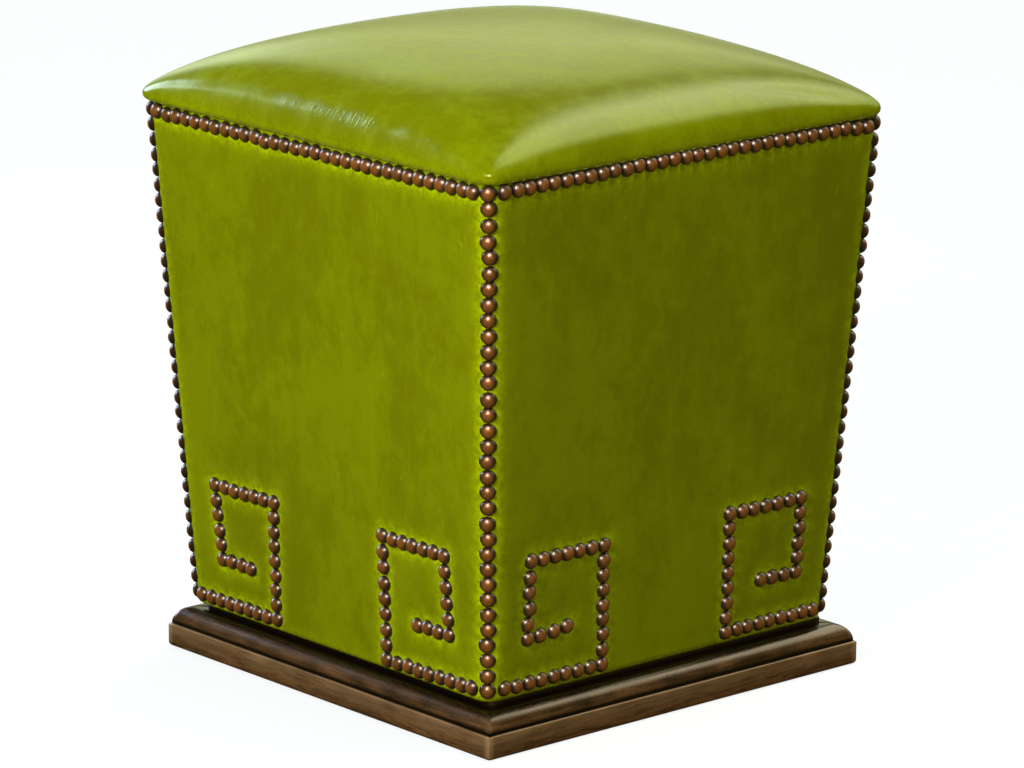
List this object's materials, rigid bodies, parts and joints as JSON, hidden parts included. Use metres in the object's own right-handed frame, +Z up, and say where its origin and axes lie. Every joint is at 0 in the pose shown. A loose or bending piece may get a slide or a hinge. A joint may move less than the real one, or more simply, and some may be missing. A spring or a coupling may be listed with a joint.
{
  "type": "upholstered footstool",
  "caption": "Square tapered footstool in glossy green leather, with a crowned seat, rows of domed nails, Greek keys at the foot and a moulded walnut base.",
  "frame": {"origin": "on the floor, under the middle of the stool", "axes": "+Z up through the crown of the seat, -Y towards the front face, +X towards the right face; the four sides are alike"},
  "size_m": [0.4328, 0.4328, 0.5254],
  "materials": {
    "leather": "glossy, slightly mottled",
    "nail_bronze": "antique bronze, domed, satin",
    "walnut": "dark walnut stain with dark glaze in the hollows, satin",
    "frame_wood": "sawn, unfinished",
    "plywood": "unfinished",
    "padding": "matt",
    "foam": "matt",
    "dust_cloth": "matt black cambric",
    "screw_steel": "zinc plated"
  },
  "bodies": {
    "root": {"base_moulding_back": "walnut", "base_moulding_front": "walnut", "base_moulding_left": "walnut", "base_moulding_right": "walnut", "base_screw_back": "screw_steel", "base_screw_front": "screw_steel", "base_screw_left": "screw_steel", "base_screw_right": "screw_steel", "bottom_rail_back": "frame_wood", "bottom_rail_front": "frame_wood", "bottom_rail_left": "frame_wood", "bottom_rail_right": "frame_wood", "corner_nails_back_left": "nail_bronze", "corner_nails_back_right": "nail_bronze", "corner_nails_front_left": "nail_bronze", "corner_nails_front_right": "nail_bronze", "corner_post_back_left": "frame_wood", "corner_post_back_right": "frame_wood", "corner_post_front_left": "frame_wood", "corner_post_front_right": "frame_wood", "dust_cover": "dust_cloth", "leather_side_back": "leather", "leather_side_front": "leather", "leather_side_left": "leather", "leather_side_right": "leather", "leather_top": "leather", "nail_key_back_a": "nail_bronze", "nail_key_back_b": "nail_bronze", "nail_key_front_a": "nail_bronze", "nail_key_front_b": "nail_bronze", "nail_key_left_a": "nail_bronze", "nail_key_left_b": "nail_bronze", "nail_key_right_a": "nail_bronze", "nail_key_right_b": "nail_bronze", "plinth_board_back": "walnut", "plinth_board_front": "walnut", "plinth_board_left": "walnut", "plinth_board_right": "walnut", "seat_batting": "padding", "seat_deck": "plywood", "seat_foam": "foam", "side_pad_back": "padding", "side_pad_front": "padding", "side_pad_left": "padding", "side_pad_right": "padding", "side_panel_back": "plywood", "side_panel_front": "plywood", "side_panel_left": "plywood", "side_panel_right": "plywood", "top_nails_back": "nail_bronze", "top_nails_front": "nail_bronze", "top_nails_left": "nail_bronze", "top_nails_right": "nail_bronze", "top_rail_back": "frame_wood", "top_rail_front": "frame_wood", "top_rail_left": "frame_wood", "top_rail_right": "frame_wood"}
  },
  "joints": []
}
